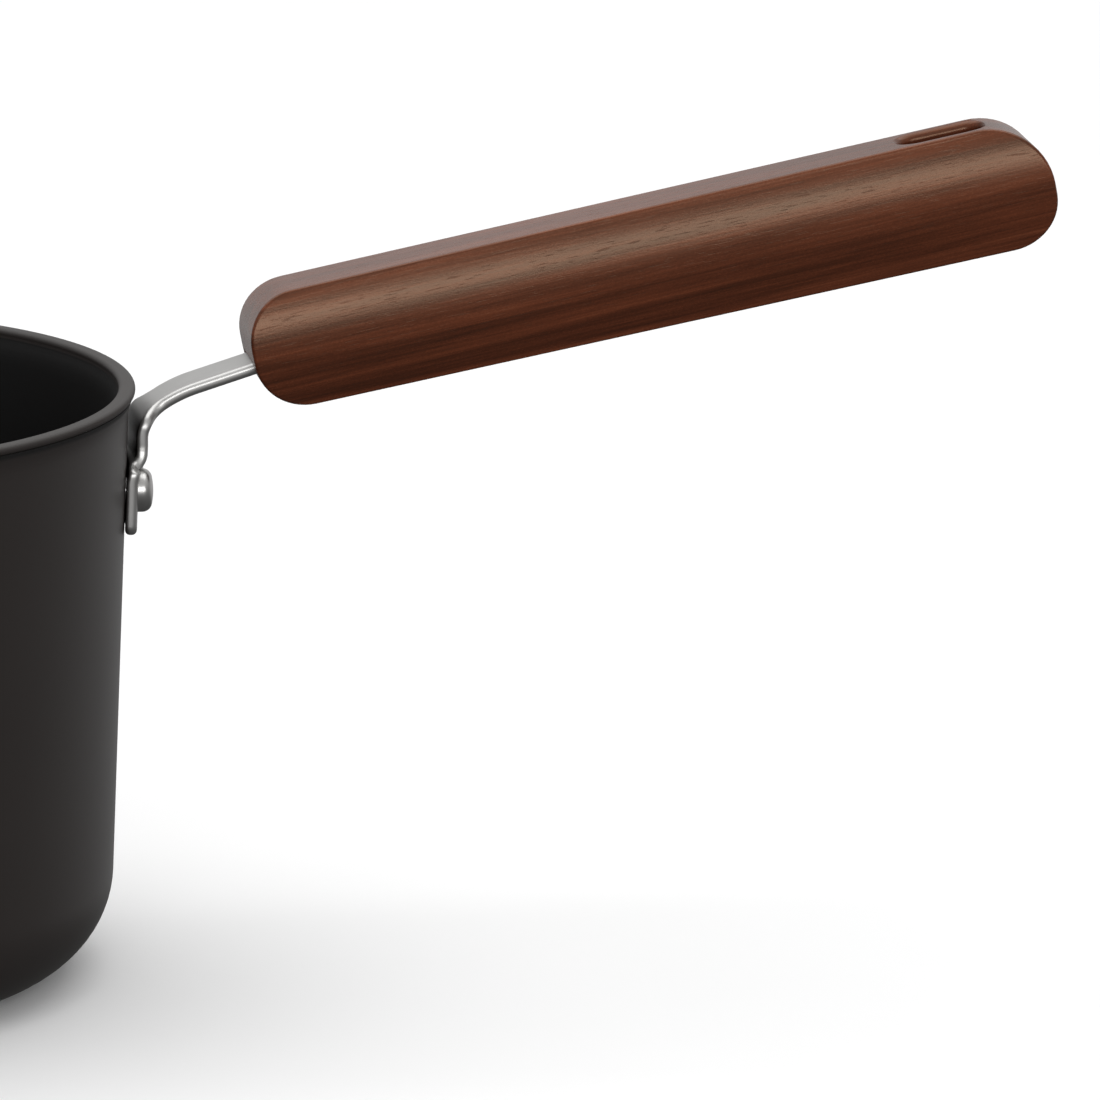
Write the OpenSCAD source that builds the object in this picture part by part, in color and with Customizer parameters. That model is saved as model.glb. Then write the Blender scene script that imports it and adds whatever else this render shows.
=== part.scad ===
// A small black coffee pot with a long wooden handle, used as a cezve.
// Origin: centre of the flat base, on the surface that the pot stands on.
// +Z is up, and +X runs from the pot's axis along the handle.

/* [Pot] */
// Height from the base to the top of the lip
pot_h = 85; // [70:1:105]
// Outer diameter where the wall rises out of the bottom corner
base_d = 102; // [85:1:125]
// Lean of the wall away from vertical, in degrees
wall_angle = 2.35; // [0.5:0.05:5]
// Thickness of the wall
wall_t = 1.8; // [1.2:0.1:3]
// Thickness of the floor
floor_t = 2.4; // [1.6:0.1:4]
// Outer radius of the bottom corner
corner_r = 15.2; // [8:0.1:20]
// Height of the rolled lip, whose edges are fully round
lip_h = 1.3; // [1.1:0.05:2.4]
// How far the lip stands out past the wall
lip_overhang = 0.9; // [0.5:0.05:1.5]
// How far the lip stands in past the wall's inner face
lip_inset = 0.05; // [0.05:0.05:0.3]
// Height over which the wall's outside swings out to meet the lip
flare_h = 3.5; // [2:0.1:6]

/* [Bracket] */
// Thickness of the bracket's steel
sheet_t = 1.7; // [1:0.1:2]
// Width of the arm and of the tang
strap_w = 8.6; // [7:0.1:10]
// Width of the neck, from which the arm narrows
neck_w = 13.6; // [10:0.1:18]
// Distance over which the arm narrows
arm_narrow = 2.9; // [2:0.1:8]
// Width of the foot that is riveted to the wall
foot_w = 20.8; // [20:0.1:26]
// Height of the foot
foot_h = 10; // [8.6:0.1:12]
// Radius of the foot's corners
foot_corner_r = 1.4; // [1:0.1:4]
// Distance from the top of the lip down to the middle of the foot
foot_drop = 16.2; // [14:0.1:20]
// How far the neck stands out from the foot
neck_step = 1; // [0.8:0.05:2]
// Height above the foot where the neck stops leaning out
neck_lean_end = 1.2; // [0.4:0.1:3]
// Height of the straight neck above its lean
neck_h = 2; // [1:0.1:6]
// Inner radius of the tight bend above the neck
low_bend_r = 3; // [2:0.1:6]
// Inner radius of the wide bend of the arm
high_bend_r = 19; // [12:0.5:30]
// Slope of the arm between its two bends, in degrees
mid_rise = 39; // [35:1:50]
// Slope of the straight part of the arm and of the tang, in degrees
arm_rise = 17; // [8:0.5:20]
// Length of the tang inside the grip
tang_l = 36; // [32:1:60]

/* [Grip] */
// Length of the grip
grip_l = 117.6; // [100:0.1:150]
// Height of the grip at its front end
grip_h_front = 16.9; // [15:0.1:22]
// Height of the grip at its tip
grip_h_tip = 18.5; // [15:0.1:24]
// Width of the grip at its front end, across its crowned sides
grip_w_front = 14.3; // [13:0.1:20]
// Width of the grip at its tip, across its crowned sides
grip_w_tip = 13.1; // [12:0.1:20]
// Radius of the sides' crown
crown_r = 23; // [18:0.5:60]
// Radius of the front end's upper corner
front_top_r = 7.1; // [4:0.1:8.4]
// Radius of the front end's lower corner
front_low_r = 7.7; // [4:0.1:8.4]
// Radius of the tip's upper corner
tip_top_r = 9.6; // [4:0.1:11]
// Radius of the tip's lower corner
tip_low_r = 7.2; // [3:0.1:7.4]
// Slope of the grip, in degrees
grip_rise = 10.95; // [8:0.05:16]
// Distance from the pot's wall to the grip's front end, at the foot's height
grip_reach = 18; // [15:0.1:40]
// How far the tang enters below the middle of the grip's front end
tang_below = 1.9; // [0:0.05:3]

/* [Hanging slot] */
// Length of the slot along the grip
slot_l = 12.4; // [8:0.1:20]
// Width of the slot
slot_w = 5.4; // [4.5:0.1:6.5]
// Distance from the grip's tip to the middle of the slot
slot_from_tip = 14.1; // [12:0.1:30]

/* [Fasteners] */
// Distance between the two rivets, round the outside of the wall
rivet_pitch = 13; // [12:0.1:16]
// How far the rivets sit above the middle of the foot
rivet_up = 0.9; // [0:0.1:1.6]
// Diameter of a rivet's shank
rivet_d = 3.6; // [3:0.1:4.5]
// Diameter of a rivet's outer head
rivet_head_d = 6.2; // [5:0.1:7]
// Height of a rivet's outer head
rivet_head_h = 2.1; // [1.6:0.1:3]
// Edge radius of a rivet's outer head
rivet_head_r = 1.4; // [0.5:0.1:1.5]
// Diameter of a rivet's flat head inside the pot
rivet_inner_d = 7.4; // [5:0.1:9]
// Height of a rivet's flat head inside the pot
rivet_inner_h = 0.9; // [0.6:0.1:1.5]
// Diameter of the grip screw's shank
screw_d = 2.8; // [2:0.1:3.5]
// Diameter of the grip screw's countersunk head
screw_head_d = 5.6; // [4.5:0.1:7]
// Length of the grip screw, with its head
screw_l = 13; // [11:0.1:15]
// How deep the screw's head lies below the grip's underside
screw_sink = 0.3; // [0:0.1:1]
// Width of the driver slot in the screw's head
driver_w = 0.8; // [0.6:0.1:1.2]
// Depth of the driver slot
driver_deep = 0.7; // [0.5:0.1:1.2]
// Distance from the grip's front end to the screw
screw_at = 24; // [14:0.5:30]

/* [Fits] */
// Gap between the rivets' outer heads and the start of the neck
neck_clear = 0.15; // [0.1:0.05:0.5]
// Gap between the foot and the wall
foot_gap = 0.05; // [0.02:0.01:0.2]
// Gap round a rivet's shank
rivet_gap = 0.05; // [0.02:0.01:0.2]
// Gap round the tang in its slot
tang_gap = 0.15; // [0.05:0.05:0.4]
// Gap round the screw in the wood
screw_gap = 0.05; // [0.02:0.01:0.2]
// Gap round the screw where it goes through the tang
tang_hole_gap = 0.1; // [0.05:0.05:0.4]

/* [Hidden] */
$fn = 96;
// A cut runs this far past the face that it opens through
past = 1;
// Straight edges run this far inside a corner circle, so that they cross it
bite = 0.02;

// Wall: the outer line leaves the corner's arc at its tangent point
corner_x = base_d / 2 - corner_r;
tangent_x = corner_x + corner_r * cos(wall_angle);
tangent_z = corner_r * (1 - sin(wall_angle));
function wall_r(z) = tangent_x + (z - tangent_z) * tan(wall_angle);
// The inner face lies wall_t inside the outer one, measured level
function inner_r(z) = wall_r(z) - wall_t / cos(wall_angle);
lip_z = pot_h - lip_h / 2;
lip_out_x = wall_r(lip_z) + lip_overhang - lip_h / 2;
lip_in_x = inner_r(lip_z) - lip_inset + lip_h / 2;
flare_z = lip_z - flare_h;
inner_corner_r = corner_r - max(wall_t, floor_t);

// Foot and rivets
foot_z = pot_h - foot_drop;
rivet_z = foot_z + rivet_up;
head_seat_r = wall_r(rivet_z) + foot_gap + sheet_t;
rivet_turn = rivet_pitch / 2 / wall_r(rivet_z) * 180 / PI;

// Arm: its side view, from the neck's inner face outwards
joint_z = rivet_z + rivet_head_d / 2 + neck_clear;
neck_in = wall_r(joint_z) + foot_gap + neck_step;
neck_out = neck_in + sheet_t;
neck_z = foot_z + foot_h / 2 + neck_lean_end;
low_x = neck_out + low_bend_r;
low_z = neck_z + neck_h;
// The two bends share one line at mid_rise, so both centres lie on it
mid_dir = [-sin(mid_rise), cos(mid_rise)];
high_x = low_x + (low_bend_r - high_bend_r) * mid_dir[0];
high_z = low_z + (low_bend_r - high_bend_r) * mid_dir[1];
arm_dir = [-sin(arm_rise), cos(arm_rise)];
// Where the wide bend's inner face ends and the straight arm begins
arm_x = high_x + high_bend_r * arm_dir[0];
arm_z = high_z + high_bend_r * arm_dir[1];

// Grip: its front end's middle lies tang_below above the arm's middle
grip_x = wall_r(foot_z) + grip_reach;
arm_mid_z = arm_z + (grip_x - arm_x) * tan(arm_rise) + sheet_t / 2 / cos(arm_rise);
grip_z = arm_mid_z + tang_below / cos(grip_rise);
tang_end_x = grip_x + tang_l * cos(arm_rise);
grip_cut = grip_w_front + grip_w_tip;
front_r = max(front_top_r, front_low_r);
slot_u = grip_l - slot_from_tip;
// Outer face of the screw's head, below the middle of the grip
screw_low = screw_sink - grip_h_front / 2 - screw_at * (grip_h_tip - grip_h_front) / 2 / grip_l;

// Half section of a cup's outline, with its floor at z0
module cup_half(z0, inset_r, round_r, top_z) {
  tz = z0 + round_r * (1 - sin(wall_angle));
  tx = wall_r(tz) - inset_r;
  kx = tx - round_r * cos(wall_angle);
  union() {
    polygon([[0, z0], [kx, z0], [tx, tz], [wall_r(top_z) - inset_r, top_z], [0, top_z]]);
    translate([kx, z0 + round_r]) circle(r = round_r);
  }
}

// Radial shank-sized hole or pin that runs from radius a to radius b
module radial(r, a, b, turn) {
  rotate([0, 0, turn])
    translate([a, 0, rivet_z])
      rotate([0, 90, 0]) cylinder(r = r, h = b - a);
}

// Moves the grip's own frame, u along and v up, into place
module in_grip() {
  translate([grip_x, 0, grip_z]) rotate([0, -grip_rise, 0]) children();
}

// Flat strip of metal along the arm, grown by gap on every side
module tang_space(gap) {
  translate([grip_x, 0, arm_mid_z])
    rotate([0, -arm_rise, 0])
      translate([-front_r, -strap_w / 2 - gap, -sheet_t / 2 - gap])
        cube([tang_l + front_r + gap, strap_w + 2 * gap, sheet_t + 2 * gap]);
}

// One band of an arc bend, between two directions measured from +X
module bend(x, z, r_in, r_out, a, b) {
  far = 2 * r_out;
  translate([x, z]) intersection() {
    difference() {
      circle(r = r_out);
      circle(r = r_in);
    }
    polygon([[0, 0], [far * cos(a), far * sin(a)], [far * cos(b), far * sin(b)]]);
  }
}

// Side view of the neck, the two bends and the straight arm with its tang
module arm_side() {
  run = (tang_end_x - arm_x) / cos(arm_rise);
  union() {
    polygon([
      [neck_in - neck_step, joint_z],
      [neck_out - neck_step, joint_z],
      [neck_out, neck_z],
      [neck_out, low_z],
      [neck_in, low_z],
      [neck_in, neck_z]
    ]);
    bend(low_x, low_z, low_bend_r, low_bend_r + sheet_t, 90 + mid_rise, 180);
    bend(high_x, high_z, high_bend_r, high_bend_r + sheet_t, 90 + arm_rise, 90 + mid_rise);
    translate([arm_x, arm_z]) rotate(arm_rise) square([run, sheet_t]);
    bend_tie(low_x, low_z, low_bend_r, 180);
    bend_tie(low_x, low_z, low_bend_r, 90 + mid_rise);
    bend_tie(high_x, high_z, high_bend_r, 90 + arm_rise);
  }
}

// Small patch inside the sheet that ties two stretches together where they meet
module bend_tie(x, z, r_in, a) {
  tie = sheet_t / 4;
  translate([x, z]) rotate(a)
    translate([r_in + sheet_t / 2, 0]) square([sheet_t - 2 * tie, tie], center = true);
}

// Seen from above, the neck is wide and the arm narrows to the tang
module arm_plan() {
  start = neck_in - 2 * neck_step;
  wide = neck_in + sheet_t / 2;
  narrow = wide + arm_narrow;
  end = tang_end_x + past;
  polygon([
    [start, -neck_w / 2],
    [wide, -neck_w / 2],
    [narrow, -strap_w / 2],
    [end, -strap_w / 2],
    [end, strap_w / 2],
    [narrow, strap_w / 2],
    [wide, neck_w / 2],
    [start, neck_w / 2]
  ]);
}

// The riveted foot, seen from outside
module foot_face() {
  w = foot_w / 2 - foot_corner_r;
  h = foot_h / 2 - foot_corner_r;
  union() {
    square([foot_w, 2 * h], center = true);
    square([2 * w, foot_h], center = true);
    for (sx = [-1, 1], sy = [-1, 1])
      translate([sx * w, sy * h]) circle(r = foot_corner_r);
  }
}

// Side view of the grip in its own frame
module grip_side() {
  a = atan((grip_h_tip - grip_h_front) / 2 / grip_l);
  hf = grip_h_front / 2;
  up = [-sin(a), cos(a)];
  down = [-sin(a), -cos(a)];
  // Height of the upper edge line at a distance u along the grip
  function edge_v(u) = hf + u * tan(a);
  // A corner circle touches its edge line, so its centre is one radius inside
  function centre_v(u, r) = edge_v(u) - r / cos(a);
  ft = [front_top_r, centre_v(front_top_r, front_top_r)];
  tt = [grip_l - tip_top_r, centre_v(grip_l - tip_top_r, tip_top_r)];
  tl = [grip_l - tip_low_r, -centre_v(grip_l - tip_low_r, tip_low_r)];
  fl = [front_low_r, -centre_v(front_low_r, front_low_r)];
  union() {
    polygon([
      ft - [front_top_r - bite, 0],
      fl - [front_low_r - bite, 0],
      fl + (front_low_r - bite) * down,
      tl + (tip_low_r - bite) * down,
      tl + [tip_low_r - bite, 0],
      tt + [tip_top_r - bite, 0],
      tt + (tip_top_r - bite) * up,
      ft + (front_top_r - bite) * up
    ]);
    translate(ft) circle(r = front_top_r);
    translate(fl) circle(r = front_low_r);
    translate(tt) circle(r = tip_top_r);
    translate(tl) circle(r = tip_low_r);
  }
}

// One crowned side: a long round bar that leans in towards the tip
module crown_bar(side) {
  lean = atan((grip_w_front - grip_w_tip) / 2 / grip_l);
  bar_y = side * (crown_r - grip_w_front / 2);
  translate([0, bar_y, 0])
    rotate([0, 0, side * lean])
      translate([-grip_l / 2, 0, 0])
        rotate([0, 90, 0]) cylinder(r = crown_r, h = 2 * grip_l);
}

// Aluminium cup with a rolled lip and two rivet holes
module pot_body() {
  color([0.17, 0.16, 0.155])
    difference() {
      rotate_extrude() union() {
        difference() {
          cup_half(0, 0, corner_r, lip_z);
          cup_half(floor_t, wall_t / cos(wall_angle), inner_corner_r, lip_z + past);
        }
        translate([lip_out_x, lip_z]) circle(r = lip_h / 2);
        translate([lip_in_x, lip_z]) circle(r = lip_h / 2);
        translate([lip_in_x, pot_h - lip_h]) square([lip_out_x - lip_in_x, lip_h]);
        polygon([
          [wall_r(flare_z) - wall_t / 2, flare_z],
          [wall_r(flare_z), flare_z],
          [lip_out_x + lip_h / 4, lip_z],
          [wall_r(lip_z) - wall_t / 2, lip_z]
        ]);
      }
      for (side = [-1, 1])
        radial(rivet_d / 2 + rivet_gap, inner_r(rivet_z) - 2 * wall_t, head_seat_r, side * rivet_turn);
    }
}

// Steel foot, neck, arm and tang, pressed from one sheet
module handle_bracket() {
  color([0.72, 0.72, 0.71])
    difference() {
      union() {
        intersection() {
          rotate_extrude()
            polygon([
              [wall_r(foot_z - foot_h) + foot_gap, foot_z - foot_h],
              [wall_r(foot_z - foot_h) + foot_gap + sheet_t, foot_z - foot_h],
              [wall_r(foot_z + foot_h) + foot_gap + sheet_t, foot_z + foot_h],
              [wall_r(foot_z + foot_h) + foot_gap, foot_z + foot_h]
            ]);
          translate([0, 0, foot_z])
            rotate([90, 0, 90]) linear_extrude(base_d) foot_face();
        }
        intersection() {
          translate([0, neck_w, 0])
            rotate([90, 0, 0]) linear_extrude(2 * neck_w) arm_side();
          linear_extrude(2 * pot_h) arm_plan();
        }
      }
      for (side = [-1, 1])
        radial(rivet_d / 2 + rivet_gap, inner_r(rivet_z), head_seat_r + past, side * rivet_turn);
      in_grip()
        translate([screw_at, 0, -grip_h_front / 2])
          cylinder(d = screw_d + 2 * tang_hole_gap, h = grip_h_front);
    }
}

// Rivet with a button head outside and a flat head inside the pot
module bracket_rivet(side) {
  head_in = head_seat_r - sheet_t;
  color([0.66, 0.66, 0.65])
    union() {
      radial(rivet_d / 2, inner_r(rivet_z) - rivet_inner_h / 2, head_seat_r + rivet_head_h / 2,
        side * rivet_turn);
      difference() {
        rotate([0, 0, side * rivet_turn])
          translate([head_in, 0, rivet_z])
            rotate([0, 90, 0]) rotate_extrude() button_half(sheet_t + rivet_head_h);
        foot_cone(foot_gap + sheet_t);
      }
      intersection() {
        radial(rivet_inner_d / 2, inner_r(rivet_z) - rivet_inner_h, head_seat_r, side * rivet_turn);
        foot_cone(-wall_t / cos(wall_angle));
      }
    }
}

// Half section of the button head, h high with a rounded edge
module button_half(h) {
  r = rivet_head_d / 2;
  union() {
    square([r, h - rivet_head_r]);
    square([r - rivet_head_r, h]);
    intersection() {
      translate([r - rivet_head_r, h - rivet_head_r]) circle(r = rivet_head_r);
      square([r, h]);
    }
  }
}

// Solid cone that runs along the wall at the foot, grown outwards by out
module foot_cone(out) {
  rotate_extrude()
    polygon([
      [0, foot_z - foot_h],
      [wall_r(foot_z - foot_h) + out, foot_z - foot_h],
      [wall_r(foot_z + foot_h) + out, foot_z + foot_h],
      [0, foot_z + foot_h]
    ]);
}

// Wooden grip with crowned sides, a blind slot for the tang and a slot to hang it by
module handle_grip() {
  color([0.42, 0.24, 0.17])
    difference() {
      in_grip()
        difference() {
          intersection() {
            translate([0, grip_cut / 2, 0])
              rotate([90, 0, 0]) linear_extrude(grip_cut) grip_side();
            crown_bar(1);
            crown_bar(-1);
          }
          translate([slot_u, 0, -grip_h_tip])
            linear_extrude(2 * grip_h_tip) slot_face();
          translate([screw_at, 0, 0]) screw_shape(screw_gap);
        }
      tang_space(tang_gap);
    }
}

module slot_face() {
  run = slot_l - slot_w;
  union() {
    square([run, slot_w], center = true);
    for (side = [-1, 1])
      translate([side * run / 2, 0]) circle(d = slot_w);
  }
}

// Countersunk screw from the grip's underside, grown by gap
module screw_shape(gap) {
  head_h = (screw_head_d - screw_d) / 2;
  translate([0, 0, screw_low])
    union() {
      cylinder(d = screw_d + 2 * gap, h = screw_l + gap);
      cylinder(d1 = screw_head_d + 2 * gap, d2 = screw_d + 2 * gap, h = head_h);
      if (gap > 0)
        translate([0, 0, -past]) cylinder(d = screw_head_d + 2 * gap, h = past);
    }
}

module grip_screw() {
  color([0.6, 0.6, 0.58])
    in_grip()
      translate([screw_at, 0, 0])
        difference() {
          screw_shape(0);
          translate([-screw_head_d, -driver_w / 2, screw_low - past])
            cube([2 * screw_head_d, driver_w, past + driver_deep]);
        }
}

pot_body();
handle_bracket();
bracket_rivet(-1);  // bracket_rivet_1
bracket_rivet(1);  // bracket_rivet_2
handle_grip();
grip_screw();
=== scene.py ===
# A long-handled coffee pot: dark anodised cup, riveted steel bracket and wooden grip.
# Everything is in metres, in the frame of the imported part: Z up, handle along +X.

import math

import bmesh
import bpy
from mathutils import Matrix, Vector


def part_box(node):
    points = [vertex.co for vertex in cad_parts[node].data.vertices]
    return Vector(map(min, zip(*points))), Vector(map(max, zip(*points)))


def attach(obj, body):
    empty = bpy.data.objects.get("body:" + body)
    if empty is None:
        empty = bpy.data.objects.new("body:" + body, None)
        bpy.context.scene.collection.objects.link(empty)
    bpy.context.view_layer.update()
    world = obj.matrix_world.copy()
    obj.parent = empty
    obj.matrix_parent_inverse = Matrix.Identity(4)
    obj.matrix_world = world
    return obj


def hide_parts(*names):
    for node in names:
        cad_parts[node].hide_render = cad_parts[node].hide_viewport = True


mm = 0.001
hair = 0.02 * mm      # a gap too small to see
weld = 0.002 * mm     # points closer than this become one
level = 0.001 * mm    # heights this close are the same
nearby = 0.01 * mm    # finds a corner again by its place

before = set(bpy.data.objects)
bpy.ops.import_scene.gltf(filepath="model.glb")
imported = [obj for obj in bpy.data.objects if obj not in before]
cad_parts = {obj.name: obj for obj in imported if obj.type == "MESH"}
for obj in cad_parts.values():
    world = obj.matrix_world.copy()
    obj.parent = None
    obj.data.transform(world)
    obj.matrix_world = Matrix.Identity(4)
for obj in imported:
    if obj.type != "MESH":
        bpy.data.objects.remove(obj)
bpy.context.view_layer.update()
potLow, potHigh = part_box("pot_body")
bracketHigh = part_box("handle_bracket")[1]
print("frame loaded:", len(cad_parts), "parts")


def newMesh(name, bm, finish, smoothBelow=34):
    # turns a bmesh into a smooth object whose sharp edges stay sharp
    bmesh.ops.remove_doubles(bm, verts=bm.verts[:], dist=weld)
    bmesh.ops.recalc_face_normals(bm, faces=bm.faces[:])
    bm.normal_update()
    for face in bm.faces:
        face.smooth = True
    for edge in bm.edges:
        edge.smooth = edge.calc_face_angle(0) < math.radians(smoothBelow)
    mesh = bpy.data.meshes.new(name)
    bm.to_mesh(mesh)
    bm.free()
    piece = bpy.data.objects.new(name, mesh)
    bpy.context.scene.collection.objects.link(piece)
    mesh.materials.append(finish)
    return piece


def evenNormals(piece):
    # flat faces stay flat beside their rounded edges
    piece.modifiers.new("even normals", "WEIGHTED_NORMAL").keep_sharp = True


def cutAway(piece, tools):
    # subtracts each tool from the piece, and removes the tools
    for tool in tools:
        cut = piece.modifiers.new("cut", "BOOLEAN")
        cut.operation = "DIFFERENCE"
        cut.solver = "EXACT"
        cut.object = tool
    bpy.context.view_layer.update()
    shaped = piece.evaluated_get(bpy.context.evaluated_depsgraph_get())
    mesh = bpy.data.meshes.new_from_object(shaped)
    mesh.name = piece.name
    piece.modifiers.clear()
    piece.data = mesh
    for tool in tools:
        bpy.data.objects.remove(tool)


def standIn(piece, *nodes, slot):
    # rides on the part's one body, in the place of the CAD nodes
    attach(piece, "root")
    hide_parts(*nodes)


def lineTo(bm, vert, x, z):
    made = bmesh.ops.extrude_vert_indiv(bm, verts=[vert])["verts"][0]
    made.co = (x, 0, z)
    return made


def arcTo(bm, vert, x, z, turn, steps):
    # turns clockwise as seen from -Y, with X to the right, when turn is positive
    made = bmesh.ops.spin(bm, geom=[vert], cent=(x, 0, z), axis=(0, 1, 0), angle=turn, steps=steps)
    return [item for item in made["geom_last"] if isinstance(item, bmesh.types.BMVert)][0]


def lathe(bm, steps):
    # spins the section in the XZ plane round the Z axis and closes its poles
    bmesh.ops.spin(bm, geom=bm.verts[:] + bm.edges[:], cent=(0, 0, 0), axis=(0, 0, 1),
                   angle=2 * math.pi, steps=steps, use_merge=True)
    bmesh.ops.remove_doubles(bm, verts=bm.verts[:], dist=weld)


class Signal:
    # one socket in some wiring; arithmetic on it adds Math nodes
    def __init__(self, wiring, socket):
        self.wiring = wiring
        self.socket = socket

    def math(self, operation, *values):
        return self.wiring.add("Math", {"operation": operation}, dict(enumerate(values)))

    def __add__(self, other):
        return self.math("ADD", self, other)

    def __sub__(self, other):
        return self.math("SUBTRACT", self, other)

    def __mul__(self, other):
        return self.math("MULTIPLY", self, other)

    def __truediv__(self, other):
        return self.math("DIVIDE", self, other)

    def __radd__(self, other):
        return self.math("ADD", other, self)

    def __rsub__(self, other):
        return self.math("SUBTRACT", other, self)

    def __rmul__(self, other):
        return self.math("MULTIPLY", other, self)


class Wiring:
    # the nodes of a material or of the world
    def __init__(self, tree):
        self.tree = tree
        self.tree.nodes.clear()

    def add(self, kind, settings=None, sockets=None, out=0):
        made = self.tree.nodes.new("ShaderNode" + kind)
        for key, value in (settings or {}).items():
            if key == "stops":
                self.fillRamp(made.color_ramp, value)
            else:
                setattr(made, key, value)
        for key, value in (sockets or {}).items():
            self.join(value, made.inputs[key])
        return None if out is None else Signal(self, made.outputs[out])

    def join(self, value, socket):
        if isinstance(value, Signal):
            self.tree.links.new(value.socket, socket)
        else:
            socket.default_value = value

    def fillRamp(self, ramp, stops):
        while len(ramp.elements) < len(stops):
            ramp.elements.new(1)
        for element, (position, colour) in zip(ramp.elements, stops):
            element.position = position
            element.color = (*colour, 1)

    def mix(self, factor, first, second):
        # a mix of two colours
        return self.add("Mix", {"data_type": "RGBA"}, {0: factor, 6: first, 7: second}, out=2)

    def noise(self, place, scale, detail=4, rough=0.5, distortion=0):
        return self.add("TexNoise", None, {"Vector": place, "Scale": scale, "Detail": detail,
                                           "Roughness": rough, "Distortion": distortion})

    def spread(self, value, low, high, toLow=0, toHigh=1):
        # remaps low..high to toLow..toHigh, smoothly and clamped
        return self.add("MapRange", {"interpolation_type": "SMOOTHSTEP"},
                        {"Value": value, "From Min": low, "From Max": high,
                         "To Min": toLow, "To Max": toHigh})

    def axes(self, vector):
        split = self.add("SeparateXYZ", None, {0: vector})
        outputs = split.socket.node.outputs
        return [Signal(self, outputs[i]) for i in range(3)]


class Finish(Wiring):
    # a material with one Principled shader
    def __init__(self, name, **constants):
        self.material = bpy.data.materials.new(name)
        self.material.use_nodes = True
        super().__init__(self.material.node_tree)
        self.shader = self.add("BsdfPrincipled").socket.node
        self.add("OutputMaterial", None, {0: Signal(self, self.shader.outputs[0])}, out=None)
        self.place = self.add("TexCoord", out="Object")
        self.feed(**constants)

    def feed(self, **links):
        for name, value in links.items():
            self.join(value, self.shader.inputs[name.replace("_", " ")])
        return self

    def stretched(self, scale, turnY=0, shift=(0, 0, 0)):
        # object coordinates, turned about Y and stretched by one factor per axis
        turned = self.add("Mapping", {"vector_type": "POINT"},
                          {"Vector": self.place, "Location": shift, "Rotation": (0, turnY, 0)})
        return self.add("VectorMath", {"operation": "MULTIPLY"}, {0: turned, 1: scale})

    def bump(self, height, distance, strength):
        return self.add("Bump", None,
                        {"Height": height, "Distance": distance, "Strength": strength})


pot = {
    "wallLean": math.radians(2.35),
    "wallThick": 1.8 * mm,
    "floorThick": 2.4 * mm,
    "cornerRound": 15.2 * mm,
    "rim": -potLow.x - hair,
    "lipHigh": 1.3 * mm,
    "lipOut": 0.9 * mm,       # how far the rolled lip stands out past the wall
    "lipIn": 0.05 * mm,
    "flareHigh": 3.2 * mm,    # the wall's two faces swing out over this height under the lip
    "flareOut": 0.65 * mm,
    "flareIn": 0.35 * mm,
    "turns": 192,
    "cornerSteps": 18,
    "innerCornerSteps": 16,
    "lipOutSteps": 20,
    "lipInSteps": 14,
}


def wallRadius(z):
    # outer radius of the wall
    top = potHigh.z - pot["lipHigh"] / 2
    return pot["rim"] - pot["lipOut"] - (top - z) * math.tan(pot["wallLean"])


def innerRadius(z):
    return wallRadius(z) - pot["wallThick"] / math.cos(pot["wallLean"])


def cornerCentre(round, inset):
    # centre of the bottom corner's arc, which meets the floor and the leaning wall
    z = round + inset
    tangent = z - round * math.sin(pot["wallLean"])
    edge = wallRadius if inset == 0 else innerRadius
    return edge(tangent) - round * math.cos(pot["wallLean"]), z


def flare(z):
    # share of the wall's swing outwards at this height
    start = potHigh.z - pot["lipHigh"] - pot["flareHigh"]
    share = min(max((z - start) / pot["flareHigh"], 0), 1)
    return share * share


def buildPot():
    lean = pot["wallLean"]
    lip = pot["lipHigh"] / 2
    lipZ, lipLow = potHigh.z - lip, potHigh.z - 2 * lip
    lipX = pot["rim"] - lip
    innerRound = pot["cornerRound"] - pot["floorThick"]
    outX, outZ = cornerCentre(pot["cornerRound"], 0)
    inX, inZ = cornerCentre(innerRound, pot["floorThick"])

    bm = bmesh.new()
    tip = bm.verts.new((0, 0, potLow.z))
    for share in (0.3, 0.6, 0.85, 1):
        tip = lineTo(bm, tip, outX * share, potLow.z)
    tip = arcTo(bm, tip, outX, outZ, lean - math.pi / 2, pot["cornerSteps"])
    # up the wall, in finer steps where it flares under the lip
    for share in (0.2, 0.4, 0.6, 0.75, 0.85, 0.9, 0.94, 0.955, 0.97, 0.98, 0.99, 1):
        z = outZ + (lipLow - outZ) * share
        tip = lineTo(bm, tip, wallRadius(z) + pot["flareOut"] * flare(z), z)

    # round the lip's outer edge, over its top and down to the inner wall
    tip = lineTo(bm, tip, lipX, lipLow)
    tip = arcTo(bm, tip, lipX, lipZ, -math.pi, pot["lipOutSteps"])
    inner = innerRadius(lipZ) + pot["flareIn"] - pot["lipIn"] + lip
    tip = lineTo(bm, tip, inner, potHigh.z)
    under = math.acos(1 - pot["lipIn"] / lip)
    tip = arcTo(bm, tip, inner, lipZ, -(math.pi / 2 + under), pot["lipInSteps"])
    start = tip.co.z
    for share in (0.01, 0.02, 0.03, 0.045, 0.06, 0.1, 0.2, 0.4, 0.6, 0.8, 1):
        z = start + (inZ - start) * share
        tip = lineTo(bm, tip, innerRadius(z) + pot["flareIn"] * flare(z), z)
    tip = arcTo(bm, tip, inX, inZ, math.pi / 2 - lean, pot["innerCornerSteps"])
    for share in (0.8, 0.5, 0.25, 0):
        tip = lineTo(bm, tip, inX * share, pot["floorThick"])
    lathe(bm, pot["turns"])
    return newMesh("pot_shell", bm, potFinish())


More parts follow.
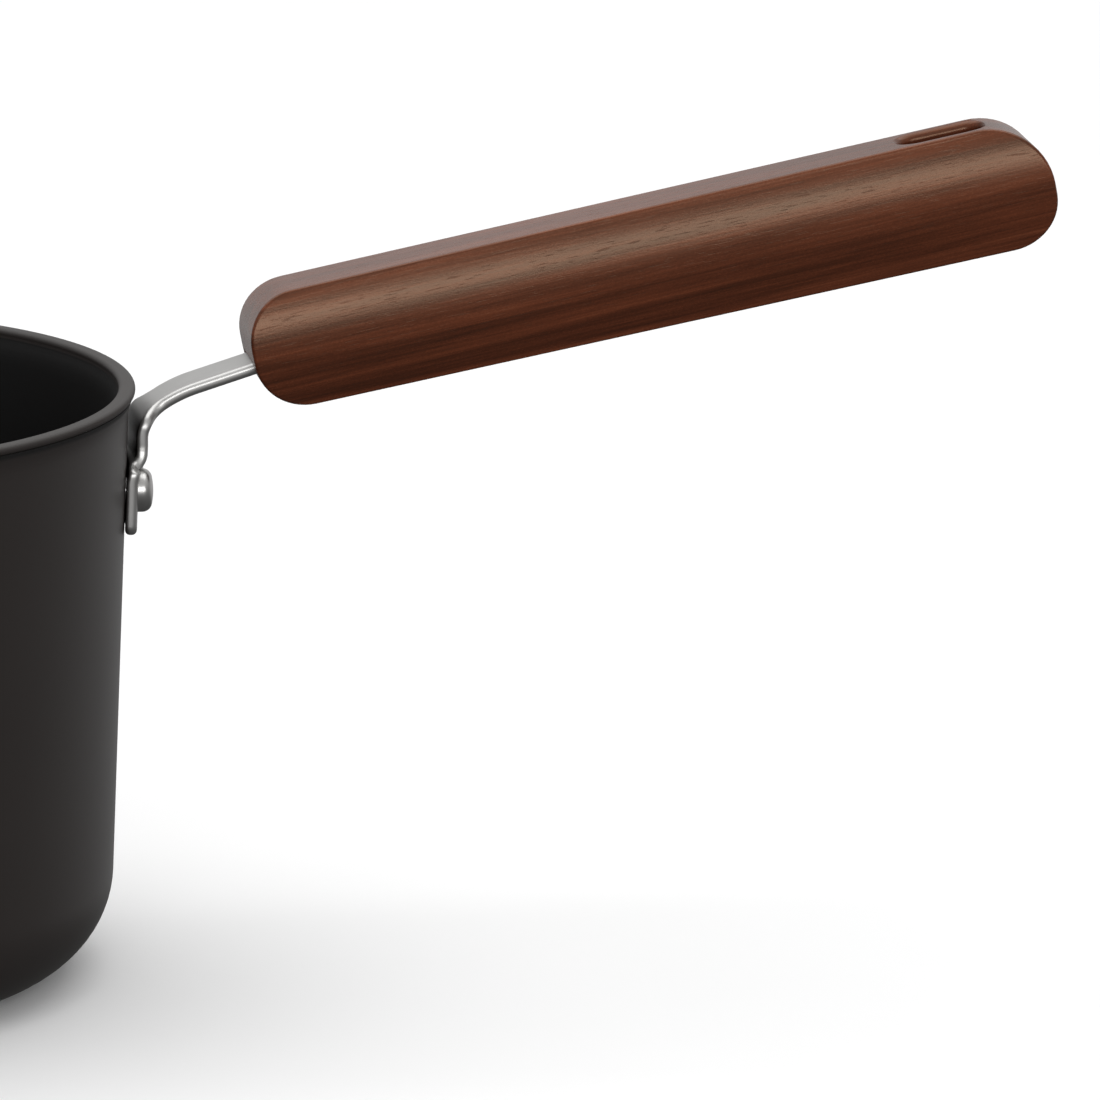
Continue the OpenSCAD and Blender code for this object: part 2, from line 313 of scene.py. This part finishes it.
def potFinish():
    # hard anodised aluminium: satin dark grey, darker inside, paler on the lip's top from rubbing
    # wear and a painted highlight, with painted shade under the lip
    finish = Finish("dark anodised", Specular_IOR_Level=0.42)
    x, y, z = finish.axes(finish.place)
    normal = finish.add("NewGeometry", out="Normal")
    radius = finish.add("VectorMath", {"operation": "LENGTH"},
                        {0: finish.add("CombineXYZ", None, {0: x, 1: y})}, out="Value")
    outward = finish.add("VectorMath", {"operation": "DOT_PRODUCT"},
                         {0: normal, 1: finish.add("CombineXYZ", None, {0: x, 1: y})}, out="Value")
    up = finish.axes(normal)[2]
    inside = finish.spread(outward / radius - up, -0.2, 0.2, 1, 0)
    lipLow = potHigh.z - pot["lipHigh"]
    onLip = finish.spread(z, lipLow - 0.1 * mm, lipLow + 0.15 * mm)
    inside = inside * (1 - onLip)

    grain = finish.noise(finish.place, 9000, 3, 0.6)
    cloud = finish.noise(finish.place, 38, 4, 0.55)
    colour = finish.mix(cloud, (0.0200, 0.0158, 0.0143, 1), (0.0240, 0.0194, 0.0178, 1))
    # the lip's upward-facing top is paler: partly rubbing wear, partly a painted highlight where
    # the light falls on it
    colour = finish.mix(onLip * finish.spread(up, 0.2, 0.9), colour, (0.034, 0.030, 0.028, 1))
    # painted shade: a dark band on the wall just under the lip, where the flare turns down
    underLipShade = finish.spread(z, lipLow - 1.1 * mm, lipLow - 0.3 * mm) * (1 - onLip) * (1 - inside)
    colour = finish.mix(underLipShade, colour, (0.004, 0.0036, 0.0034, 1))
    colour = finish.mix(inside, colour, (0.0045, 0.0042, 0.0042, 1))

    # faint turning rings round the wall and on the floor
    rings = finish.add("TexNoise", {"noise_dimensions": "2D"}, {
        "Vector": finish.add("CombineXYZ", None, {0: radius * 2600, 1: z * 2600}),
        "Scale": 1, "Detail": 2})
    rough = 0.36 + cloud * 0.06 + grain * 0.05
    rough = rough + inside * 0.06 + onLip * 0.16 + underLipShade * 0.25
    height = grain * 0.7 + rings * 0.3
    return finish.feed(Base_Color=colour, Roughness=rough,
                       Normal=finish.bump(height, 0.02 * mm, 0.5)).material


bracket = {
    "sheet": 1.7 * mm,
    "strapWide": 8.6 * mm,
    "neckWide": 13.6 * mm,
    "narrowFrom": 0.6 * mm,     # past the neck's outer face, where the strap starts to narrow
    "narrowing": 2.9 * mm,      # distance over which the neck's width becomes the strap's
    "narrowRound": 1.2 * mm,
    "footHigh": 10 * mm,
    "footBelowRim": 16.2 * mm,
    "footRound": 1.4 * mm,
    "footCurl": 60 * mm,        # the foot is curved a little less than the wall
    "curlHeld": 0.75,           # shares of the foot's height: curved up to here,
    "curlGone": 1.25,           # and flat from here on
    "innerRound": 2.4 * mm,     # fillet between the foot and the neck
    "edgeRound": 0.7 * mm,
    "wallGap": 0.05 * mm,
    "jointUp": 4.15 * mm,       # from the foot's middle up to where the neck leaves it
    "neckStep": 1 * mm,
    "neckLeanEnd": 1.2 * mm,
    "neckHigh": 2 * mm,
    "lowBend": 3 * mm,
    "highBend": 19 * mm,
    "midRise": math.radians(39),
    "armRise": math.radians(17),
    "straight": 60 * mm,        # more than the straight arm and its tang need
    "edgeSteps": 6,
    "sliceBent": 0.4 * mm,
    "sliceStraight": 6 * mm,
    "sliceAcross": 1.2 * mm,
}
footZ = potHigh.z - bracket["footBelowRim"]


def strapStretches():
    # the sheet's wall-facing side, from the foot's lower edge to the tang's end:
    # the length of each stretch, and how far it turns away from the pot
    sheet, lean = bracket["sheet"], pot["wallLean"]
    foot = bracket["footHigh"]
    plain = foot / 2 + bracket["jointUp"]
    stepHigh = foot / 2 + bracket["neckLeanEnd"] - bracket["jointUp"]
    turn = 2 * math.atan(bracket["neckStep"] / stepHigh)
    stepLong = stepHigh / 2 / math.sin(turn) * turn
    lowTurn = math.pi / 2 - bracket["midRise"]
    highTurn = bracket["midRise"] - bracket["armRise"]
    return [
        (plain, 0),
        (stepLong, turn - lean),
        (stepLong, -turn),
        (bracket["neckHigh"], 0),
        ((bracket["lowBend"] + sheet) * lowTurn, lowTurn),
        ((bracket["highBend"] + sheet) * highTurn, highTurn),
        (bracket["straight"], 0),
    ]


def bentLength():
    # how far along the strap its straight end starts
    return sum(stretch[0] for stretch in strapStretches()[:-1])


def alongStrap(distance):
    # the point and the heading at a distance along the strap
    bottom = footZ - bracket["footHigh"] / 2
    heading = math.pi / 2 - pot["wallLean"]
    x, z = wallRadius(bottom) + bracket["wallGap"], bottom
    for length, turn in strapStretches():
        part = min(distance, length)
        if turn:
            bendRound = length / turn
            ahead = heading - part / bendRound
            x += bendRound * (math.sin(heading) - math.sin(ahead))
            z += bendRound * (math.cos(ahead) - math.cos(heading))
            heading = ahead
        else:
            x += part * math.cos(heading)
            z += part * math.sin(heading)
        distance -= part
        if distance <= 0:
            break
    return x, z, heading


def bendSheet(flat):
    # flat: x across, y along the strap, z the depth below the wall-facing side
    x, z, heading = alongStrap(flat.y)
    x += flat.z * math.sin(heading)
    z -= flat.z * math.cos(heading)
    # the foot follows the round wall, and the neck leaves it flat
    curve = bracket["footCurl"]
    curl = curve - math.sqrt(curve * curve - flat.x * flat.x)
    foot, held, gone = bracket["footHigh"], bracket["curlHeld"], bracket["curlGone"]
    hold = min(max((foot * gone - flat.y) / (foot * (gone - held)), 0), 1)
    return Vector((x - curl * hold, flat.x, z))


def strapReach(far):
    # how far along the strap the face away from the pot passes x = far
    step = 0.03 * mm
    reach = 0
    while True:
        x, z, heading = alongStrap(reach)
        if x + bracket["sheet"] * math.sin(heading) >= far:
            return reach
        reach += step


def roundCorner(bm, verts, size, steps=6):
    bmesh.ops.bevel(bm, geom=verts, offset=size, offset_type="OFFSET", segments=steps, profile=0.5,
                    affect="VERTICES", material=-1)


def slicedAcross(bm, axis, places):
    for place in places:
        where = [0, 0, 0]
        along = [0, 0, 0]
        where[axis] = place
        along[axis] = 1
        bmesh.ops.bisect_plane(bm, geom=bm.verts[:] + bm.edges[:] + bm.faces[:], dist=level,
                               plane_co=where, plane_no=along)


def buildBracket():
    half, neckHalf = bracket["strapWide"] / 2, bracket["neckWide"] / 2
    footHalf = bracketHigh.y
    foot, sheet = bracket["footHigh"], bracket["sheet"]
    length = strapReach(bracketHigh.x)
    neckEnd = foot + bracket["neckLeanEnd"] + bracket["neckHigh"]
    wide = strapReach(alongStrap(neckEnd)[0] + sheet + bracket["narrowFrom"])
    narrow = strapReach(alongStrap(wide)[0] + bracket["narrowing"])

    # the flat pattern: a wide foot and a long strap that narrows from its neck
    bm = bmesh.new()
    right = [(footHalf, 0), (footHalf, foot), (neckHalf, foot), (neckHalf, wide),
             (half, narrow), (half, length)]
    corners = right + [(-x, y) for x, y in reversed(right)]
    bm.faces.new([bm.verts.new((x, y, 0)) for x, y in corners])
    for size, places in ((bracket["footRound"], right[:2]), (bracket["innerRound"], right[2:3]),
                         (bracket["narrowRound"], right[3:5])):
        for x, y in places:
            roundCorner(bm, [v for v in bm.verts if abs(abs(v.co.x) - x) < nearby
                             and abs(v.co.y - y) < nearby], size)

    # thickness, then rounded edges all the way round
    made = bmesh.ops.extrude_face_region(bm, geom=bm.faces[:])["geom"]
    bmesh.ops.translate(bm, verts=[v for v in made if isinstance(v, bmesh.types.BMVert)],
                        vec=(0, 0, sheet))
    rims = [e for e in bm.edges
            if abs(e.verts[0].co.z - e.verts[1].co.z) < nearby and len(e.link_faces) == 2]
    bmesh.ops.bevel(bm, geom=rims, offset=bracket["edgeRound"], offset_type="OFFSET",
                    segments=bracket["edgeSteps"], profile=0.5, affect="EDGES", material=-1)

    # slices that let the pattern bend
    bent = bentLength()
    count = int(bent / bracket["sliceBent"])
    slicedAcross(bm, 1, [bent * (i + 0.5) / count for i in range(count)])
    apart = bracket["sliceStraight"]
    slicedAcross(bm, 1, [bent + i * apart for i in range(int((length - bent) / apart) + 1)])
    across = int(footHalf / bracket["sliceAcross"])
    slicedAcross(bm, 0, [footHalf * i / across for i in range(-across + 1, across)])
    for vert in bm.verts:
        vert.co = bendSheet(vert.co)
    piece = newMesh("bracket_strap", bm, steelFinish("polished steel", 0.37, shadeWallSide=True), 30)
    cutAway(piece, rivetDrills() + [screwDrill()])
    return piece


def steelFinish(name, rough, shadeWallSide=False):
    # polished stainless steel with faint rubbing marks, and painted shade on the faces that turn
    # towards the wall
    finish = Finish(name, Metallic=1)
    smear = finish.noise(finish.stretched((60, 160, 160)), 1, 5, 0.6)
    scratch = finish.noise(finish.stretched((350, 6500, 6500)), 1, 3, 0.7)
    colour = finish.mix(smear, (0.42, 0.415, 0.405, 1), (0.53, 0.525, 0.515, 1))
    roughness = rough + smear * 0.10 + scratch * 0.06 - 0.05
    if shadeWallSide:
        # painted shade: faces turned towards the pot's wall are darkened, standing in for the
        # shade in the gap
        wallward = finish.axes(finish.add("NewGeometry", out="Normal"))[0] * -1
        colour = finish.mix(finish.spread(wallward, 0.72, 0.92), colour, (0.04, 0.038, 0.036, 1))
    return finish.feed(Base_Color=colour, Roughness=roughness,
                       Normal=finish.bump(scratch, 0.004 * mm, 0.5)).material


rivet = {
    "shank": 3.6 * mm,
    "gap": 0.05 * mm,
    "pitch": 13 * mm,
    "up": 0.9 * mm,            # above the foot's middle
    "lift": 0.05 * mm,         # the flatter foot holds the outer heads off a little
    "headHalf": 3.1 * mm,
    "headHigh": 2.1 * mm,
    "headEdge": 1.4 * mm,
    "crown": 0.18 * mm,        # how far the head's face bulges
    "innerHalf": 3.7 * mm,
    "innerHigh": 0.9 * mm,
    "innerEdge": 0.35 * mm,
    "turns": 64,
    "drillLong": 12 * mm,
    "drillSides": 48,
}
rivetZ = footZ + rivet["up"]
rivetTurn = rivet["pitch"] / 2 / wallRadius(rivetZ)


def onRadius(bm, side):
    # stands a lathed piece, made along Z, on the pot's axis and aims it through the wall
    aim = Matrix.Rotation(side * rivetTurn, 4, "Z") @ Matrix.Translation((0, 0, rivetZ))
    bmesh.ops.transform(bm, matrix=aim @ Matrix.Rotation(math.pi / 2, 4, "Y"), verts=bm.verts[:])


def rivetDrills():
    # one round bar through each rivet hole
    radius = rivet["shank"] / 2 + rivet["gap"]
    middle = Matrix.Translation((0, 0, wallRadius(rivetZ)))
    drills = []
    for side in (-1, 1):
        bm = bmesh.new()
        bmesh.ops.create_cone(bm, cap_ends=True, segments=rivet["drillSides"], radius1=radius,
                              radius2=radius, depth=rivet["drillLong"], matrix=middle)
        onRadius(bm, side)
        drills.append(newMesh("rivet_drill", bm, None))
    return drills


def buildRivet(name, side):
    shank, head, edge = rivet["shank"] / 2, rivet["headHalf"], rivet["headEdge"]
    inner, innerEdge = rivet["innerHalf"], rivet["innerEdge"]
    seatOut = bracket["wallGap"] + bracket["sheet"] + rivet["lift"]
    seat = wallRadius(rivetZ) + seatOut
    wall = innerRadius(rivetZ)
    top = seat + rivet["headHigh"]

    # the section, with its own axis along Z and its height measured from the pot's axis
    bm = bmesh.new()
    tip = bm.verts.new((0, 0, wall - rivet["innerHigh"]))
    tip = lineTo(bm, tip, inner * 0.5, wall - rivet["innerHigh"])
    tip = lineTo(bm, tip, inner - innerEdge, wall - rivet["innerHigh"])
    tip = arcTo(bm, tip, inner - innerEdge, wall - rivet["innerHigh"] + innerEdge, -math.pi / 2, 6)
    innerSeat = lineTo(bm, tip, inner, wall)
    innerShank = lineTo(bm, innerSeat, shank, wall)
    tip = lineTo(bm, innerShank, shank, seat)
    outerSeat = lineTo(bm, tip, head, seat)
    tip = lineTo(bm, outerSeat, head, top - rivet["crown"] - edge)
    tip = arcTo(bm, tip, head - edge, top - rivet["crown"] - edge, -math.radians(82), 10)
    lastX, lastZ = tip.co.x, tip.co.z
    for share in (0.75, 0.5, 0.25, 0):
        tip = lineTo(bm, tip, lastX * share, lastZ + (top - lastZ) * (1 - share * share))
    lathe(bm, rivet["turns"])

    # the heads' undersides follow the round, leaning walls that they are closed on
    for vert in bm.verts:
        if abs(vert.co.z - seat) < level:
            vert.co.z = seatHeight(vert.co, wallRadius, seatOut)
        elif abs(vert.co.z - wall) < level:
            vert.co.z = seatHeight(vert.co, innerRadius, 0)
    onRadius(bm, side)
    return newMesh(name, bm, steelFinish("rivet steel " + name[-1], 0.27))


def seatHeight(place, surface, out):
    # height above the pot's axis of a round leaning surface, beside a rivet's own axis
    radius = surface(rivetZ - place.x) + out
    return math.sqrt(radius * radius - place.y * place.y)


grip = {
    "long": 117.6 * mm,
    "frontHigh": 16.9 * mm,
    "tipHigh": 18.5 * mm,
    "frontWide": 14.3 * mm,
    "tipWide": 13.1 * mm,
    "crown": 23 * mm,
    "frontTopRound": 7.1 * mm,
    "frontLowRound": 7.7 * mm,
    "tipTopRound": 9.6 * mm,
    "tipLowRound": 7.2 * mm,
    "rise": math.radians(10.95),
    "reach": 18 * mm,           # from the pot's wall to the front end
    "tangBelow": 1.9 * mm,
    "edgeRound": 0.5 * mm,
    "slotLong": 12.4 * mm,
    "slotWide": 5.4 * mm,
    "slotFromTip": 14.1 * mm,
    "slotMouth": 1.1 * mm,
    "tangGap": 0.15 * mm,
    "screwAt": 24 * mm,
    "screwHole": 3 * mm,
    "screwHead": 5.9 * mm,
    "screwSink": 0.3 * mm,
    "screwDeep": 13.4 * mm,
    "slices": 26,
    "cornerSteps": 14,
    "edgeSteps": 4,
    "slotSides": 48,
    "screwSides": 40,
}
gripTaper = (grip["tipHigh"] - grip["frontHigh"]) / 2 / grip["long"]
gripX = wallRadius(footZ) + grip["reach"]


def armMiddle(x):
    # height of the strap's middle where it is straight
    startX, startZ, heading = alongStrap(bentLength())
    middleX = startX + bracket["sheet"] / 2 * math.sin(heading)
    middleZ = startZ - bracket["sheet"] / 2 * math.cos(heading)
    return middleZ + (x - middleX) * math.tan(heading)


gripZ = armMiddle(gripX) + grip["tangBelow"] / math.cos(grip["rise"])
gripPlace = Matrix.Translation((gripX, 0, gripZ)) @ Matrix.Rotation(-grip["rise"], 4, "Y")


def buildGrip():
    length = grip["long"]
    taper = math.atan(gripTaper)
    front, tip = grip["frontHigh"] / 2, grip["tipHigh"] / 2
    lean = math.atan((grip["frontWide"] - grip["tipWide"]) / 2 / length)

    # side view, counter-clockwise from the lower front corner, with each corner's own rounding
    bm = bmesh.new()
    corners = [(0, -front, grip["frontLowRound"]), (length, -tip, grip["tipLowRound"]),
               (length, tip, grip["tipTopRound"]), (0, front, grip["frontTopRound"])]
    outline = [bm.verts.new((x, 0, z)) for x, z, size in corners]
    bm.faces.new(outline)
    for x, z, size in corners:
        bm.verts.ensure_lookup_table()
        nearest = min(bm.verts, key=lambda v: (v.co.x - x) ** 2 + (v.co.z - z) ** 2)
        roundCorner(bm, [nearest], size * math.tan(math.pi / 4 + taper / 2), grip["cornerSteps"])

    made = bmesh.ops.extrude_face_region(bm, geom=bm.faces[:])["geom"]
    wide = grip["frontWide"]
    bmesh.ops.translate(bm, verts=[v for v in made if isinstance(v, bmesh.types.BMVert)],
                        vec=(0, wide / 2, 0))
    for vert in bm.verts:
        if vert.co.y < wide / 4:
            vert.co.y = -wide / 2
    slices = grip["slices"]
    slicedAcross(bm, 2, [-tip + 2 * tip * (i + 0.5) / slices for i in range(slices)])

    # both sides are crowned and lean in towards the tip
    for vert in bm.verts:
        side = math.copysign(1, vert.co.y)
        sag = grip["crown"] - math.sqrt(grip["crown"] ** 2 - vert.co.z ** 2)
        vert.co.y = side * (wide / 2 - sag - vert.co.x * math.tan(lean))

    # the edges between the sides and the band that runs all round
    sharp = math.radians(40)
    rims = [e for e in bm.edges if e.calc_face_angle(0) > sharp]
    bmesh.ops.bevel(bm, geom=rims, offset=grip["edgeRound"], offset_type="OFFSET",
                    segments=grip["edgeSteps"], profile=0.5, affect="EDGES", material=-1)
    bmesh.ops.transform(bm, matrix=gripPlace, verts=bm.verts[:])
    piece = newMesh("grip_wood", bm, woodFinish(), 30)
    cutAway(piece, [slotCutter(), tangCutter(), screwDrill(True)])
    return piece


def slotCutter():
    # a stadium bar through the grip that flares at both mouths
    radius, mouth = grip["slotWide"] / 2, grip["slotMouth"]
    run = (grip["slotLong"] - grip["slotWide"]) / 2
    middle = grip["long"] - grip["slotFromTip"]
    half = grip["frontHigh"] / 2 + middle * gripTaper
    bm = bmesh.new()
    steps, skipped = 8, 8    # the first 8 degrees would leave a feather edge at the mouth
    flared = [(-half - mouth, radius + mouth)]
    for i in range(steps + 1):
        angle = math.radians(skipped + (90 - skipped) * i / steps)
        flared.append((-half + mouth * (1 - math.cos(angle)),
                       radius + mouth * (1 - math.sin(angle))))
    section = flared + [(-z, r) for z, r in reversed(flared)]
    tip = bm.verts.new((0, 0, section[0][0]))
    for z, r in section:
        tip = lineTo(bm, tip, r, z)
    lineTo(bm, tip, 0, section[-1][0])
    lathe(bm, grip["slotSides"])
    # pull the round bar apart into a long slot
    bmesh.ops.bisect_plane(bm, geom=bm.verts[:] + bm.edges[:] + bm.faces[:], dist=level,
                           plane_co=(0, 0, 0), plane_no=(1, 0, 0))
    middleEdges = [e for e in bm.edges if all(abs(v.co.x) < weld for v in e.verts)]
    bmesh.ops.split_edges(bm, edges=middleEdges)
    for vert in bm.verts:
        reach = max((face.calc_center_median().x for face in vert.link_faces), key=abs)
        vert.co.x += math.copysign(run, reach)
    loose = [e for e in bm.edges if e.is_boundary]
    bmesh.ops.bridge_loops(bm, edges=loose)
    place = gripPlace @ Matrix.Translation((middle, 0, 0))
    bmesh.ops.transform(bm, matrix=place, verts=bm.verts[:])
    return newMesh("slot_cutter", bm, None)


def tangCutter():
    # the sawn slot that the tang is pushed into
    gap = grip["tangGap"]
    start, end = gripX - grip["frontLowRound"], bracketHigh.x + gap
    rise = bracket["armRise"]
    length = (end - start) / math.cos(rise)
    centre = Vector(((start + end) / 2, 0, armMiddle((start + end) / 2)))
    size = (length, bracket["strapWide"] + 2 * gap, bracket["sheet"] + 2 * gap)
    place = Matrix.Translation(centre) @ Matrix.Rotation(-rise, 4, "Y")
    bm = bmesh.new()
    bmesh.ops.create_cube(bm, size=1, matrix=place @ Matrix.Diagonal((*size, 1)))
    return newMesh("tang_cutter", bm, None)


def screwDrill(sunk=False):
    # the screw's hole, with its countersink when it is for the wood
    under = -grip["frontHigh"] / 2 - grip["screwAt"] * gripTaper
    bm = bmesh.new()
    shank, head = grip["screwHole"] / 2, grip["screwHead"] / 2
    past, sink = 2 * mm, grip["screwSink"]
    if sunk:
        section = [(head, -past), (head, sink), (shank, sink + head - shank),
                   (shank, grip["screwDeep"])]
    else:
        section = [(shank, -past), (shank, grip["frontHigh"] + past)]
    tip = bm.verts.new((0, 0, section[0][1]))
    for r, z in section:
        tip = lineTo(bm, tip, r, z)
    lineTo(bm, tip, 0, section[-1][1])
    lathe(bm, grip["screwSides"])
    place = gripPlace @ Matrix.Translation((grip["screwAt"], 0, under))
    bmesh.ops.transform(bm, matrix=place, verts=bm.verts[:])
    return newMesh("screw_drill", bm, None)


def woodFinish():
    # oiled reddish-brown hardwood, with its grain along the grip
    finish = Finish("walnut", Specular_IOR_Level=0.5, Specular_Tint=(1, 0.69, 0.48, 1))
    turn = grip["rise"]
    wander = finish.noise(finish.stretched((9, 60, 60), turn), 1, 2, 0.5)
    band = finish.noise(finish.stretched((8, 190, 260), turn + math.radians(0.8)), 1, 5, 0.6, 0.9)
    streak = finish.noise(finish.stretched((26, 1700, 1900), turn), 1, 4, 0.65)
    cross = finish.noise(finish.stretched((55, 2300, 2600), turn + math.radians(2.2)), 1, 3, 0.6)
    speck = finish.noise(finish.stretched((2600, 5200, 5200), turn), 1, 2, 0.6)
    pores = finish.noise(finish.stretched((330, 5600, 5600), turn, (0.3, 0.1, 0.7)), 1, 2, 0.5)
    pore = finish.spread(pores, 0.60, 0.70)

    tone = finish.add("ValToRGB", {"stops": [
        (0.34, (0.022, 0.0070, 0.0038)), (0.45, (0.066, 0.0165, 0.0074)),
        (0.55, (0.128, 0.0330, 0.0142)), (0.66, (0.205, 0.064, 0.029))]},
        {0: band * 0.42 + streak * 0.22 + cross * 0.12 + speck * 0.12 + wander * 0.12})
    tone = finish.mix(pore * 0.25, tone, (0.024, 0.008, 0.0045, 1))
    rough = 0.20 + streak * 0.08 + speck * 0.05 + pore * 0.12
    height = streak * 0.35 + cross * 0.2 + speck * 0.25 - pore * 0.15
    return finish.feed(Base_Color=tone, Roughness=rough,
                       Normal=finish.bump(height, 0.05 * mm, 0.6)).material


studio = {
    "eye": (-116.02 * mm, -1456.45 * mm, 398.59 * mm),
    "down": math.radians(13.0325),
    "turn": math.radians(-9),
    "lens": 345.69,
    "sensor": 36,
    "floorHalf": 6,
    "overhead": {"place": (0.1, 0.4, 1.6), "aim": (0.06, 0, 0.05),
                 "size": (2.4, 1.6), "power": 19},
    "front": {"place": (0.2, -2.2, 0.68), "aim": (0.1, 0, 0.1),
              "size": (2.2, 0.5), "power": 24},
}


def buildStage():
    bm = bmesh.new()
    bmesh.ops.create_grid(bm, x_segments=1, y_segments=1, size=studio["floorHalf"])
    finish = Finish("pale floor", Roughness=0.9, Specular_IOR_Level=0.1)
    speck = finish.noise(finish.place, 14, 3)
    finish.feed(Base_Color=finish.mix(speck, (0.88, 0.88, 0.88, 1), (0.9, 0.9, 0.9, 1)))
    floor = newMesh("floor", bm, finish.material)
    floor.location.z = -hair
    floor.visible_diffuse = False
    floor.visible_glossy = False

    # a pale backdrop behind, a darker room in front and below
    world = bpy.data.worlds.new("studio")
    world.use_nodes = True
    room = Wiring(world.node_tree)
    side, back, height = room.axes(room.add("TexCoord", out="Generated"))
    front = room.add("ValToRGB", {"stops": greys(
        (0, 0.10), (0.3, 0.15), (0.42, 0.19), (0.5, 0.26), (0.62, 0.4), (1, 0.8))},
        {0: height * 0.5 + 0.5})
    behind = room.add("ValToRGB", {"stops": greys(
        (0, 0.03), (0.3, 0.12), (0.42, 0.6), (0.55, 0.68), (1, 0.68))},
        {0: height * 0.5 + 0.5})
    glow = room.mix(room.spread(back + side * 0.35, 0.1, 0.95), front, behind)
    seenWhite = room.mix(room.add("LightPath", out="Is Camera Ray"), glow, (1, 1, 1, 1))
    room.add("OutputWorld", None, {0: room.add("Background", None, {0: seenWhite})}, out=None)
    bpy.context.scene.world = world

    for name in ("overhead", "front"):
        softLight(name, **studio[name])

    camera = bpy.data.cameras.new("camera")
    camera.lens = studio["lens"]
    camera.sensor_width = studio["sensor"]
    camera.clip_end = 30
    eye = bpy.data.objects.new("camera", camera)
    eye.location = studio["eye"]
    eye.rotation_euler = (math.pi / 2 - studio["down"], 0, studio["turn"])
    bpy.context.scene.collection.objects.link(eye)
    bpy.context.scene.camera = eye
    bpy.context.scene.view_settings.view_transform = "Standard"


def greys(*stops):
    return [(position, (value, value, value)) for position, value in stops]


def softLight(name, place, aim, size, power):
    lamp = bpy.data.lights.new(name, "AREA")
    lamp.shape = "RECTANGLE"
    lamp.size, lamp.size_y = size
    lamp.energy = power
    holder = bpy.data.objects.new(name, lamp)
    holder.location = place
    holder.rotation_euler = (Vector(aim) - Vector(place)).to_track_quat("-Z", "Y").to_euler()
    bpy.context.scene.collection.objects.link(holder)


buildStage()
print("stage ready")

shell = buildPot()
cutAway(shell, rivetDrills())
standIn(shell, "pot_body", slot="dark_anodised")
print("pot ready")

strap = buildBracket()
evenNormals(strap)
standIn(strap, "handle_bracket", slot="polished_steel")
print("bracket ready")

for number, side in ((1, -1), (2, 1)):
    head = buildRivet("rivet_%d" % number, side)
    standIn(head, "bracket_rivet_%d" % number, slot="rivet_steel")
print("rivets ready")

wood = buildGrip()
evenNormals(wood)
standIn(wood, "handle_grip", slot="walnut")
print("grip ready")

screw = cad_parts["grip_screw"]
screw.data.materials.clear()
screw.data.materials.append(steelFinish("screw steel", 0.3))
print("screw ready")
